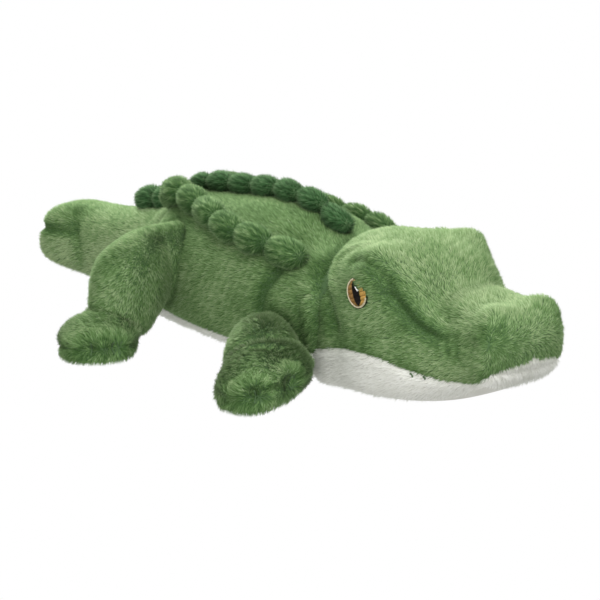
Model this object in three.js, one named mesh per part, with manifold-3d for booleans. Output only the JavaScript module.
// A plush crocodile lying on its belly. Millimetres, +X towards the snout, +Y to its left side, +Z up.
// The origin is on the floor under the belly. Each sewn panel is a shell of plush round its filling.
import * as THREE from "three";
import { mergeVertices } from "three/addons/utils/BufferGeometryUtils.js";
import Module from "manifold-3d";

const wasm = await Module();
wasm.setup();

// Cloth and clearances
const plush = 3; // backing and the dense root of the pile
const gap = 0.3; // between touching pieces
const floorCut = 0.5; // how far the weight flattens a form that stands on the floor
const socketClearance = 0.8; // round a form that turns in a socket
const socketFacets = 32;
const overrun = 5; // how far a cutter passes what it cuts

// Torso
const torsoLength = 168;
const torsoWidth = 92;
const torsoHeight = 76;
const rumpToOrigin = 88;
const rumpRounding = 26;
const shoulderRounding = 18;
const bellySeamHeight = 11;
const neckSeamHeight = 17;

// Head: its rounded back turns in the collar of the torso
const skullRadius = 40;
const headAxisToOrigin = 84;
const headReach = 96; // from the turning axis to the tip of the snout
const headHeight = 76;
const snoutRounding = 12;
const snoutWidth = 53;
const mouthHeight = 26;
const browForward = 21; // ahead of the head's axis
const browOut = 34.5;
const browUp = 67;
const browRise = 12;
const browReach = 12;
const nostrilForward = 84.5;
const nostrilOut = 16;
const nostrilUp = 53;
const nostrilRise = 4;
const nostrilReach = 9;

// Tail: its rounded root turns in the rump
const tailRootRadius = 26;
const tailAxisToOrigin = 88;
const tailReach = 104; // from the turning axis to the tip
const tailWidth = 45;
const tailHeight = 47;
const tailRootHeight = 60;
const tailTipRounding = 18;
const tailBend = 16; // how far the tip leans to the right

// Eyes: embroidered ovals, let into the pile
const eyeWidth = 11.5;
const eyeHeight = 17;
const eyeBorder = 1.4;
const pupilWidth = 4;
const eyeThickness = 1.4;
const eyeAlongShare = 0.43; // of the head, from its back
const eyeRound = 24; // degrees up round the head from its widest level
const eyeLean = 20; // degrees that its top leans back
const eyeSpanShare = 0.03; // of the head, to each side of the eye's middle
const eyeSpan = 8; // degrees round the head, above and below it

// Tufts: a stuffed tube of plush, tied off at equal steps
const tuftWidth = 15;
const tuftSink = 2.5; // how far a tuft is pressed into the back
const tuftNeckShare = 0.5;
const centreTufts = 7;
const centreTuftPitch = 19;
const centreFirst = 41.5;
const sideTufts = 6;
const sideTuftPitch = 22.6;
const sideFirst = 43;
const sideRowOut = 34;
const tailTufts = 2;
const tailTuftPitch = 14;
const tailTuftFirst = 12; // behind the tail's axis

// Beads sewn into a flat pouch
const pouchLength = 84;
const pouchWidth = 54;
const pouchHeight = 14;

// Legs: the flat root is sewn upright to the flank and swings there like a door
const rootThickness = 10;
const pawLevelShare = 0.4; // where a paw is widest, up from the floor
const limbBluntness = 2.1;
const limbEndBluntness = 2.3;
const pawBluntness = { above: 2.2, below: 3.5, around: 2.3 };
const frontLeg = {
  name: "front",
  hingeForward: 46,
  hingeOut: 49,
  lean: 38, // degrees forwards of straight out
  reach: 44,
  inside: 18,
  thickness: 36,
  swellLength: 24,
  top: 40,
  bottom: 2,
  pawAhead: 4,
  pawOut: 38,
  pawTurn: -12, // degrees that the paw points forwards of the leg
  pawLength: 57,
  pawWidth: 44,
  pawHeight: 29,
  soleHeight: 10,
  forward: 8,
  back: 30,
};
const hindLeg = {
  name: "hind",
  hingeForward: -45,
  hingeOut: 48.5,
  lean: 4,
  reach: 46,
  inside: 24,
  thickness: 38,
  swellLength: 26,
  top: 60,
  bottom: 4,
  pawAhead: 4.6,
  pawOut: 43.5,
  pawTurn: 46,
  pawLength: 45,
  pawWidth: 44,
  pawHeight: 25,
  soleHeight: 8,
  forward: 25,
  back: 20,
};

const colours = {
  green: 0x6f9a5f,
  darkGreen: 0x3f6b45,
  paleGreen: 0x86b070,
  white: 0xf2f1ec,
  filling: 0xfafafa,
  beads: 0xd9d4c8,
  cream: 0xe6d9bd,
  gold: 0xb8823a,
  black: 0x141210,
};
const material = (colour) =>
  new THREE.MeshStandardMaterial({ color: colour, roughness: 0.95, metalness: 0 });

// A closed geometry becomes a solid that can be joined and cut
function solid(geometry) {
  const bare = geometry.clone();
  bare.deleteAttribute("normal");
  bare.deleteAttribute("uv");
  const merged = mergeVertices(bare);
  const made = new wasm.Manifold(
    new wasm.Mesh({
      numProp: 3,
      vertProperties: new Float32Array(merged.attributes.position.array),
      triVerts: new Uint32Array(merged.index.array),
    }),
  );
  return made;
}

function geometryOf(made) {
  const mesh = made.getMesh();
  return new THREE.BufferGeometry()
    .setAttribute("position", new THREE.BufferAttribute(mesh.vertProperties, mesh.numProp))
    .setIndex(new THREE.BufferAttribute(mesh.triVerts, 1));
}

// The value of one column of a table of stations at a share of the way along, on a smooth curve
function smooth(stations, column, along) {
  const last = stations.length - 1;
  const place = Math.min(1, Math.max(0, along));
  const next = Math.max(1, stations.findIndex((s) => s.along >= place));
  const [a, b] = [stations[next - 1], stations[next]];
  const slope = (i) => {
    const [p, q] = [stations[Math.max(0, i - 1)], stations[Math.min(last, i + 1)]];
    return (q[column] - p[column]) / (q.along - p.along);
  };
  const span = b.along - a.along;
  const t = (place - a.along) / span;
  const rise = b[column] - a[column];
  return (
    a[column] +
    t * t * (3 - 2 * t) * rise +
    span * t * (1 - t) * ((1 - t) * slope(next - 1) - t * slope(next))
  );
}

// How much of its full section a form has at a distance from an end that is rounded over a length
const rounded = (distance, length, bluntness) =>
  distance >= length
    ? 1
    : Math.max(0, 1 - (1 - Math.max(0, distance) / length) ** bluntness) ** (1 / bluntness);

const blunt = (value, bluntness) => Math.sign(value) * Math.abs(value) ** (2 / bluntness);

// A stuffed form: sections on a table of stations along X, rounded off at both ends.
// The inset draws every side in by a wall, so the same form gives its own hollow and filling.
function stuffedForm(shape, inset, rows, columns) {
  const geometry = new THREE.SphereGeometry(1, columns, rows);
  geometry.rotateZ(Math.PI / 2);
  const at = geometry.attributes.position;
  for (let i = 0; i < at.count; i++) {
    const [a, b, c] = [at.getX(i), at.getY(i), at.getZ(i)];
    const ring = Math.hypot(b, c) || 1;
    const [x, y, z] = shape.point((a + 1) / 2, b / ring, c / ring, inset);
    at.setXYZ(i, x, y, z);
  }
  return solid(geometry);
}

// Sections of a form with its crown, widest level and belly given as shares of its height
function sections({ start, length, width, height, stations, startRounding, endRounding, bulges }) {
  const shape = { start, length, width, height };
  shape.section = (along, inset = 0) => {
    const x = start + along * length;
    const capped = (distance, cap) => rounded(distance - inset, cap.length - inset, cap.bluntness);
    const round = Math.min(capped(along * length, startRounding), capped((1 - along) * length, endRounding));
    const level = smooth(stations, "level", along) * height;
    return {
      x,
      round,
      level,
      side: smooth(stations, "side", along) * width,
      half: (smooth(stations, "width", along) * width) / 2 - inset,
      up: smooth(stations, "crown", along) * height - level - inset,
      down: level - smooth(stations, "belly", along) * height + floorCut - inset,
      above: smooth(stations, "above", along),
      below: smooth(stations, "below", along),
    };
  };
  shape.point = (share, across, upward, inset) => {
    const inner = inset / length;
    const along = Math.min(1 - inner, Math.max(inner, share * (1 - 2 * inner) + inner));
    const s = shape.section(along, inset);
    const bluntness = upward > 0 ? s.above : s.below;
    const y = s.side + blunt(across, bluntness) * s.half * s.round;
    const z = s.level + blunt(upward, bluntness) * (upward > 0 ? s.up : s.down) * s.round;
    return bulge([s.x, y, z], bulges, [0, across, upward]);
  };
  // The height of the top surface over a place on the floor
  shape.topAt = (x, y) => {
    const s = shape.section((x - start) / length);
    const share = Math.min(1, Math.abs(y - s.side) / (s.half * s.round));
    return s.level + s.up * s.round * (1 - share ** s.above) ** (1 / s.above);
  };
  return shape;
}

// Pushes a point outwards where a bulge is near: a bell-shaped swelling on both sides of the form
function bulge(point, bulges, outwards) {
  const moved = new THREE.Vector3(...point);
  for (const { x, y, z, rise, reach } of bulges) {
    for (const side of [-1, 1]) {
      const away = Math.hypot(point[0] - x, point[1] - side * y, point[2] - z) / reach;
      moved.addScaledVector(new THREE.Vector3(...outwards), rise * Math.exp(-away * away));
    }
  }
  return moved.toArray();
}

// A solid under a line of heights along X, wide enough to part any form there
function below(line, width, lift) {
  const outline = new THREE.Shape();
  outline.moveTo(line[0].x, -overrun);
  line.forEach(({ x, z }) => outline.lineTo(x, z + lift));
  outline.lineTo(line.at(-1).x, -overrun);
  outline.closePath();
  const block = new THREE.ExtrudeGeometry(outline, { depth: width, bevelEnabled: false });
  block.translate(0, 0, -width / 2);
  block.rotateX(Math.PI / 2);
  return solid(block);
}

// The line of a sewn seam, as places along X and heights, from a table of shares
function seamLine(start, length, height, shares, steps) {
  const line = [];
  for (let i = 0; i <= steps; i++) {
    const along = i / steps;
    line.push({ x: start + along * length, z: smooth(shares, "height", along) * height });
  }
  return line;
}

// Everything under the floor
const underFloor = () => {
  const depth = tailReach + headReach + torsoLength;
  const slab = new THREE.BoxGeometry(2 * depth, depth, overrun);
  slab.translate(0, 0, -overrun / 2);
  return solid(slab);
};
const floor = underFloor();

// A round socket in the torso, coaxial with an upright hinge, for a form with a rounded end
function socket(x, radius, section, clearance, facets) {
  const profile = [];
  const steps = facets / 2 - 2;
  for (let i = 0; i <= steps; i++) {
    const turn = Math.PI * (i / steps - 0.5);
    const bluntness = turn > 0 ? section.above : section.below;
    const reach = (turn > 0 ? section.up : section.down) + clearance;
    const height = blunt(Math.sin(turn), bluntness) * reach;
    profile.push(new THREE.Vector2(blunt(Math.cos(turn), bluntness) * (radius + clearance), height));
  }
  profile[0].x = 0;
  profile[steps].x = 0;
  const round = new THREE.LatheGeometry(profile, facets);
  round.rotateX(Math.PI / 2);
  round.translate(x, 0, section.level);
  return solid(round);
}

// Torso
const torsoShares = [
  { along: 0, width: 0.72, crown: 0.87, level: 0.4, belly: 0, side: 0, above: 2.05, below: 4 },
  { along: 0.155, width: 0.86, crown: 0.93, level: 0.4, belly: 0, side: 0, above: 2.05, below: 4 },
  { along: 0.345, width: 0.97, crown: 0.97, level: 0.4, belly: 0, side: 0, above: 2.05, below: 4 },
  { along: 0.524, width: 1, crown: 1, level: 0.4, belly: 0, side: 0, above: 2.05, below: 4 },
  { along: 0.68, width: 0.99, crown: 0.97, level: 0.4, belly: 0, side: 0, above: 2.05, below: 4 },
  { along: 0.78, width: 0.96, crown: 0.885, level: 0.4, belly: 0, side: 0, above: 2.1, below: 4 },
  { along: 0.86, width: 0.94, crown: 0.85, level: 0.4, belly: 0, side: 0, above: 2.2, below: 4 },
  { along: 1, width: 0.92, crown: 0.86, level: 0.4, belly: 0, side: 0, above: 2.2, below: 4 },
];
const torsoShape = sections({
  start: -rumpToOrigin,
  length: torsoLength,
  width: torsoWidth,
  height: torsoHeight,
  stations: torsoShares,
  startRounding: { length: rumpRounding, bluntness: 2.35 },
  endRounding: { length: shoulderRounding, bluntness: 2.4 },
  bulges: [],
});

// Head
const headLength = skullRadius + headReach;
const headWidth = 2 * skullRadius;
const snoutShare = snoutWidth / headWidth;
const headShares = [
  { along: 0, width: 1, crown: 0.95, level: 0.44, belly: 0, side: 0, above: 2, below: 4 },
  { along: 0.294, width: 1, crown: 0.985, level: 0.44, belly: 0, side: 0, above: 2, below: 4 },
  { along: 0.44, width: 1.04, crown: 1, level: 0.43, belly: 0, side: 0, above: 2.2, below: 4 },
  { along: 0.58, width: 0.93, crown: 0.93, level: 0.41, belly: 0, side: 0, above: 2.3, below: 4 },
  { along: 0.7, width: 0.78, crown: 0.8, level: 0.4, belly: 0.03, side: 0, above: 2.4, below: 3.5 },
  { along: 0.82, width: snoutShare, crown: 0.72, level: 0.42, belly: 0.13, side: 0, above: 2.6, below: 3 },
  { along: 0.92, width: snoutShare, crown: 0.7, level: 0.45, belly: 0.2, side: 0, above: 2.8, below: 3 },
  { along: 1, width: snoutShare, crown: 0.67, level: 0.47, belly: 0.26, side: 0, above: 3, below: 3 },
];
const headStart = headAxisToOrigin - skullRadius;
const headShape = sections({
  start: headStart,
  length: headLength,
  width: headWidth,
  height: headHeight,
  stations: headShares,
  startRounding: { length: skullRadius, bluntness: 2 },
  endRounding: { length: snoutRounding, bluntness: 2.6 },
  bulges: [
    { x: headAxisToOrigin + browForward, y: browOut, z: browUp, rise: browRise, reach: browReach },
    {
      x: headAxisToOrigin + nostrilForward,
      y: nostrilOut,
      z: nostrilUp,
      rise: nostrilRise,
      reach: nostrilReach,
    },
  ],
});
const skull = headShape.section(skullRadius / headLength);

// Where the green upper lip meets the white jaw, from the nape to the tip of the snout
const mouthShares = [
  { along: 0, height: 0.58 },
  { along: 0.22, height: 0.7 },
  { along: 0.4, height: 0.92 },
  { along: 0.53, height: 0.9 },
  { along: 0.62, height: 0.78 },
  { along: 0.74, height: 0.68 },
  { along: 0.86, height: 0.72 },
  { along: 0.92, height: 0.84 },
  { along: 0.965, height: 1.1 },
  { along: 1, height: 1.24 },
];

// Tail
const tailLength = tailRootRadius + tailReach;
const tailWideShare = tailWidth / (2 * tailRootRadius);
const tailHighShare = tailHeight / tailRootHeight;
const bendShare = -tailBend / (2 * tailRootRadius);
const tailBody = { width: tailWideShare, crown: tailHighShare };
const tailShares = [
  { along: 0, ...tailBody, level: 0.4, belly: 0.1, side: bendShare, above: 2.5, below: 2.8 },
  { along: 0.15, ...tailBody, level: 0.38, belly: 0.05, side: 0.5 * bendShare, above: 2.4, below: 3 },
  { along: 0.35, ...tailBody, level: 0.36, belly: 0.01, side: 0.1 * bendShare, above: 2.3, below: 3 },
  { along: 0.55, width: 0.9, crown: 0.86, level: 0.39, belly: 0, side: 0, above: 2.2, below: 3 },
  { along: 0.72, width: 0.96, crown: 0.93, level: 0.42, belly: 0, side: 0, above: 2.1, below: 3 },
  { along: 0.8, width: 1, crown: 1, level: 0.45, belly: 0, side: 0, above: 2, below: 3 },
  { along: 1, width: 1, crown: 1, level: 0.45, belly: 0, side: 0, above: 2, below: 3 },
];
const tailShape = sections({
  start: -tailAxisToOrigin - tailReach,
  length: tailLength,
  width: 2 * tailRootRadius,
  height: tailRootHeight,
  stations: tailShares,
  startRounding: { length: tailTipRounding, bluntness: 2.5 },
  endRounding: { length: tailRootRadius, bluntness: 2 },
  bulges: [],
});
const tailRoot = tailShape.section(tailReach / tailLength);

const headSocket = (clearance, facets) =>
  socket(headAxisToOrigin, skullRadius, skull, clearance, facets);
const tailSocket = (clearance, facets) =>
  socket(-tailAxisToOrigin, tailRootRadius, tailRoot, clearance, facets);

// One leg, built on the right side in its own frame: +X out from the hinge, +Y forwards, +Z up
function legSolids(leg) {
  const legLength = leg.inside + leg.reach;
  const middle = (leg.top + leg.bottom) / 2;
  const pawLevel = leg.pawHeight * pawLevelShare;
  const limb = (inset) => {
    const from = inset ? rootThickness : -leg.inside;
    const geometry = new THREE.SphereGeometry(1, inset ? 10 : 14, inset ? 7 : 12);
    geometry.rotateZ(Math.PI / 2);
    const at = geometry.attributes.position;
    for (let i = 0; i < at.count; i++) {
      const [a, b, c] = [at.getX(i), at.getY(i), at.getZ(i)];
      const out = from + ((a + 1) / 2) * (leg.reach - inset - from);
      const ring = Math.hypot(b, c) || 1;
      const round =
        rounded(leg.reach - inset - out, legLength / 2, limbEndBluntness) *
        rounded(out - from, legLength / 4, limbEndBluntness);
      const swell = Math.min(1, Math.max(0, out / leg.swellLength));
      const eased = Math.sin((swell * Math.PI) / 2);
      const half = (rootThickness + eased * (leg.thickness - rootThickness)) / 2 - inset;
      const high = (leg.top - leg.bottom) / 2 - inset;
      const y = blunt(b / ring, limbBluntness) * half * round;
      const z = middle + blunt(c / ring, limbBluntness) * high * round;
      at.setXYZ(i, out, y, z);
    }
    return solid(geometry);
  };
  const paw = (inset) => {
    const geometry = new THREE.SphereGeometry(1, inset ? 12 : 18, inset ? 7 : 10);
    geometry.rotateX(Math.PI / 2);
    const at = geometry.attributes.position;
    for (let i = 0; i < at.count; i++) {
      const [a, b, c] = [at.getX(i), at.getY(i), at.getZ(i)];
      const ring = Math.hypot(a, b) || 1;
      const bluntness = c > 0 ? pawBluntness.above : pawBluntness.below;
      const wide = blunt(ring, bluntness);
      const tall = (c > 0 ? leg.pawHeight - pawLevel : pawLevel + floorCut) - inset;
      const x = blunt(a / ring, pawBluntness.around) * wide * (leg.pawLength / 2 - inset);
      const y = blunt(b / ring, pawBluntness.around) * wide * (leg.pawWidth / 2 - inset);
      at.setXYZ(i, x, y, pawLevel + blunt(c, bluntness) * tall);
    }
    geometry.rotateZ(THREE.MathUtils.degToRad(leg.pawTurn));
    geometry.translate(leg.pawOut, leg.pawAhead, 0);
    return solid(geometry);
  };
  const form = (inset) => limb(inset).add(paw(inset));
  const underSole = (height) => {
    const slab = new THREE.BoxGeometry(2 * legLength + leg.pawLength, 2 * leg.pawLength, height + overrun);
    slab.translate(leg.pawOut, leg.pawAhead, (height - overrun) / 2);
    return solid(slab);
  };
  const toWorld = new THREE.Matrix4()
    .makeRotationZ(THREE.MathUtils.degToRad(leg.lean - 90))
    .setPosition(leg.hingeForward, -leg.hingeOut, 0);
  const toLeg = toWorld.clone().invert();
  // The root is cut back by the flank at each place that the swing brings it to
  const outer = [-leg.back, -leg.back / 2, 0, leg.forward / 2, leg.forward].reduce((cut, angle) => {
    const turned = geometryOf(stuffedForm(torsoShape, -gap, 20, 22)).applyMatrix4(toLeg);
    turned.rotateZ(THREE.MathUtils.degToRad(-angle));
    return cut.subtract(solid(turned));
  }, form(0));
  const hollow = form(plush);
  return {
    leg_skin: [outer.subtract(hollow).subtract(underSole(leg.soleHeight)), colours.green],
    leg_filling: [form(plush + gap).subtract(underSole(leg.soleHeight)), colours.filling],
    sole: [outer.intersect(underSole(leg.soleHeight - gap)).subtract(floor), colours.green],
  };
}

// A row of tufts on a line over a form, tied off between them and flat where it lies on the form
function tuftRow(count, pitch, path, under) {
  const ringsPerTuft = 6;
  const sides = 8;
  const rings = count * ringsPerTuft;
  const points = [];
  const middles = [];
  for (let i = 0; i <= rings; i++) middles.push(path((i / ringsPerTuft) * pitch));
  for (let i = 0; i <= rings; i++) {
    const ahead = new THREE.Vector3()
      .subVectors(middles[Math.min(rings, i + 1)], middles[Math.max(0, i - 1)])
      .normalize();
    const across = new THREE.Vector3(0, 0, 1).cross(ahead).normalize();
    const upward = ahead.clone().cross(across);
    const turn = ((i % ringsPerTuft) / ringsPerTuft) * 2 - 1;
    const swell = Math.sqrt(1 - turn * turn);
    const end = i === 0 || i === rings;
    const radius = end ? 0 : (tuftWidth / 2) * (tuftNeckShare + (1 - tuftNeckShare) * swell);
    for (let k = 0; k < (end ? 1 : sides); k++) {
      const angle = (k / sides) * 2 * Math.PI;
      points.push(
        middles[i]
          .clone()
          .addScaledVector(across, radius * Math.cos(angle))
          .addScaledVector(upward, radius * Math.sin(angle)),
      );
    }
  }
  const index = [];
  const last = points.length - 1;
  const at = (ring, k) => (ring === 0 ? 0 : ring === rings ? last : 1 + (ring - 1) * sides + (k % sides));
  for (let i = 0; i < rings; i++) {
    for (let k = 0; k < sides; k++) {
      if (i > 0) index.push(at(i, k), at(i, k + 1), at(i + 1, k));
      if (i < rings - 1) index.push(at(i, k + 1), at(i + 1, k + 1), at(i + 1, k));
    }
  }
  const geometry = new THREE.BufferGeometry().setFromPoints(points).setIndex(index);
  return solid(geometry).subtract(under);
}

// The eye on the right side: the matrix that lays a flat oval on the head, facing out of its surface
function eyePlace(sunk) {
  const spot = (along, degrees) => {
    const angle = THREE.MathUtils.degToRad(degrees);
    return new THREE.Vector3(...headShape.point(along, -Math.cos(angle), Math.sin(angle), 0));
  };
  const place = spot(eyeAlongShare, eyeRound);
  const behind = spot(eyeAlongShare - eyeSpanShare, eyeRound);
  const ahead = spot(eyeAlongShare + eyeSpanShare, eyeRound).sub(behind);
  const rise = spot(eyeAlongShare, eyeRound + eyeSpan).sub(spot(eyeAlongShare, eyeRound - eyeSpan));
  const facing = ahead.cross(rise).normalize();
  const across = new THREE.Vector3().crossVectors(rise.normalize(), facing).normalize();
  return new THREE.Matrix4()
    .makeBasis(across, rise, facing)
    .setPosition(place)
    .multiply(new THREE.Matrix4().makeRotationZ(THREE.MathUtils.degToRad(eyeLean)))
    .multiply(new THREE.Matrix4().makeTranslation(0, 0, -sunk));
}

function oval(width, height, hole, thickness, pointed = false) {
  const draw = (path, w, h) => {
    if (pointed) {
      path.moveTo(0, -h / 2);
      path.quadraticCurveTo(w, 0, 0, h / 2);
      path.quadraticCurveTo(-w, 0, 0, -h / 2);
    } else path.absellipse(0, 0, w / 2, h / 2, 0, 2 * Math.PI, false, 0);
    return path;
  };
  const outline = draw(new THREE.Shape(), width, height);
  if (hole) outline.holes.push(hole(new THREE.Path()));
  return new THREE.ExtrudeGeometry(outline, { depth: thickness, bevelEnabled: false, curveSegments: 10 });
}

// Assembly
const crocodile = new THREE.Group();
const add = (group, name, made, colour) => {
  const mesh = new THREE.Mesh(geometryOf(made), material(colour));
  mesh.name = name;
  group.add(mesh);
};

const torso = new THREE.Group();
const flankShares = [
  { along: 0, height: 1.2 },
  { along: 0.3, height: 0.95 },
  { along: 0.7, height: 0.95 },
  { along: 1, height: neckSeamHeight / bellySeamHeight },
];
const flankStart = -rumpToOrigin - overrun;
const flankLength = torsoLength + 2 * overrun;
const flankSeam = seamLine(flankStart, flankLength, bellySeamHeight, flankShares, 10);
const bellyCut = (lift) => below(flankSeam, torsoWidth + overrun, lift);
const torsoOuter = stuffedForm(torsoShape, 0, 20, 22);
const torsoHollow = stuffedForm(torsoShape, plush, 12, 14);
const torsoShell = torsoOuter
  .subtract(torsoHollow)
  .subtract(headSocket(socketClearance, socketFacets))
  .subtract(tailSocket(socketClearance, socketFacets));
add(torso, "torso_back_skin", torsoShell.subtract(bellyCut(gap)), colours.green);
add(torso, "torso_belly_skin", torsoShell.intersect(bellyCut(0)).subtract(floor), colours.white);

const pouchForm = (grow) => {
  const pouch = new THREE.SphereGeometry(1, 16, 8);
  pouch.scale(pouchLength / 2 + grow, pouchWidth / 2 + grow, pouchHeight / 2 + grow);
  pouch.translate(0, 0, pouchHeight / 2 + plush + gap);
  return solid(pouch);
};
add(
  torso,
  "torso_filling",
  stuffedForm(torsoShape, plush + gap, 12, 14)
    .subtract(headSocket(plush, 18))
    .subtract(tailSocket(plush, 18))
    .subtract(pouchForm(gap)),
  colours.filling,
);
add(torso, "bean_pouch", pouchForm(0), colours.beads);

// The middle of a tuft that is pressed into the top of a form over a place on the floor
function onBack(shape, x, y) {
  const slope = (shape.topAt(x, y + gap) - shape.topAt(x, y - gap)) / (2 * gap);
  const upright = new THREE.Vector3(0, -slope, 1).normalize();
  return new THREE.Vector3(x, y, shape.topAt(x, y)).addScaledVector(upright, tuftWidth / 2 - tuftSink);
}
const backUnder = stuffedForm(torsoShape, -gap, 20, 22).add(tailSocket(socketClearance, socketFacets));
add(
  torso,
  "scute_row_centre",
  tuftRow(
    centreTufts,
    centreTuftPitch,
    (way) => onBack(torsoShape, centreFirst + centreTuftPitch / 2 - way, 0),
    backUnder,
  ),
  colours.darkGreen,
);
const sideRowLength = sideTufts * sideTuftPitch;
const sideRowShares = [
  { along: 0, out: 0.9 },
  { along: 0.25, out: 1 },
  { along: 0.42, out: 0.97 },
  { along: 0.6, out: 0.8 },
  { along: 0.8, out: 0.58 },
  { along: 1, out: 0.38 },
];
for (const [name, side] of [
  ["right", -1],
  ["left", 1],
]) {
  const path = (way) => {
    const out = sideRowOut * smooth(sideRowShares, "out", way / sideRowLength);
    return onBack(torsoShape, sideFirst + sideTuftPitch / 2 - way, side * out);
  };
  add(torso, "scute_row_" + name, tuftRow(sideTufts, sideTuftPitch, path, backUnder), colours.paleGreen);
}
crocodile.add(torso);

// The head's pieces, round its upright turning axis
const head = new THREE.Group();
const mouthLine = seamLine(headStart - overrun, headLength + 2 * overrun, mouthHeight, mouthShares, 18);
const headOuter = stuffedForm(headShape, 0, 26, 26);
const headHollow = stuffedForm(headShape, plush, 16, 16);
const jawCut = (lift) => below(mouthLine, headWidth + 2 * overrun, lift);
const eyeSeat = solid(
  oval(eyeWidth + 2 * gap, eyeHeight + 2 * gap, null, eyeThickness + gap + overrun).applyMatrix4(
    eyePlace(eyeThickness + gap),
  ),
);
const mirrored = (made) => {
  const geometry = geometryOf(made).applyMatrix4(new THREE.Matrix4().makeScale(1, -1, 1));
  const turned = geometry.index.array;
  for (let i = 0; i < turned.length; i += 3) [turned[i], turned[i + 1]] = [turned[i + 1], turned[i]];
  return solid(geometry);
};
const headShell = headOuter.subtract(headHollow);
add(
  head,
  "head_skin",
  headShell.subtract(jawCut(gap)).subtract(eyeSeat).subtract(mirrored(eyeSeat)),
  colours.green,
);
add(head, "jaw_skin", headShell.intersect(jawCut(0)).subtract(floor), colours.white);
add(head, "head_filling", stuffedForm(headShape, plush + gap, 16, 16), colours.filling);

const irisWidth = eyeWidth - 2 * eyeBorder;
const irisHeight = eyeHeight - 2 * eyeBorder;
const pupilHeight = irisHeight - 2 * gap - eyeBorder;
const ovalHole = (w, h) => (path) => path.absellipse(0, 0, w / 2, h / 2, 0, 2 * Math.PI, true, 0);
const slitHole = (w, h) => (path) => {
  path.moveTo(0, -h / 2);
  path.quadraticCurveTo(-w, 0, 0, h / 2);
  path.quadraticCurveTo(w, 0, 0, -h / 2);
  return path;
};
for (const [name, side] of [
  ["right", -1],
  ["left", 1],
]) {
  const fields = {
    border: [oval(eyeWidth, eyeHeight, ovalHole(irisWidth, irisHeight), eyeThickness), colours.cream],
    iris: [
      oval(irisWidth - 2 * gap, irisHeight - 2 * gap, slitHole(pupilWidth, pupilHeight), eyeThickness),
      colours.gold,
    ],
    pupil: [oval(pupilWidth - 2 * gap, pupilHeight - 4 * gap, null, eyeThickness, true), colours.black],
  };
  for (const [field, [shape, colour]] of Object.entries(fields)) {
    const placed = solid(shape.applyMatrix4(eyePlace(eyeThickness)));
    add(head, "eye_" + field + "_" + name, side < 0 ? placed : mirrored(placed), colour);
  }
}
crocodile.add(head);

// The tail's pieces
const tail = new THREE.Group();
const tailOuter = stuffedForm(tailShape, 0, 18, 18);
const tailShell = tailOuter.subtract(stuffedForm(tailShape, plush, 14, 14));
const tailMouth = new THREE.BoxGeometry(tailRootRadius, tailRootRadius, tailRootRadius);
tailMouth.translate(-tailAxisToOrigin + tailRootRadius, 0, tailRoot.level);
add(tail, "tail_skin", tailShell.subtract(solid(tailMouth)).subtract(floor), colours.green);
add(tail, "tail_filling", stuffedForm(tailShape, plush + gap, 14, 14), colours.filling);
add(
  tail,
  "tail_scutes",
  tuftRow(
    tailTufts,
    tailTuftPitch,
    (way) => onBack(tailShape, -tailAxisToOrigin - tailTuftFirst - way, 0),
    stuffedForm(tailShape, -gap, 18, 18),
  ),
  colours.darkGreen,
);
crocodile.add(tail);

// The legs: each pair is one leg and its mirror image, hung on upright hinges at the flanks
for (const leg of [frontLeg, hindLeg]) {
  const solids = legSolids(leg);
  for (const [name, mirror] of [
    ["right", 1],
    ["left", -1],
  ]) {
    const side = new THREE.Group();
    side.scale.y = mirror;
    const hung = new THREE.Group();
    hung.position.set(leg.hingeForward, -leg.hingeOut, 0);
    hung.rotation.z = THREE.MathUtils.degToRad(leg.lean - 90);
    for (const [piece, [made, colour]] of Object.entries(solids)) {
      add(hung, leg.name + "_" + piece + "_" + name, made, colour);
    }
    side.add(hung);
    crocodile.add(side);
  }
}

export default crocodile;
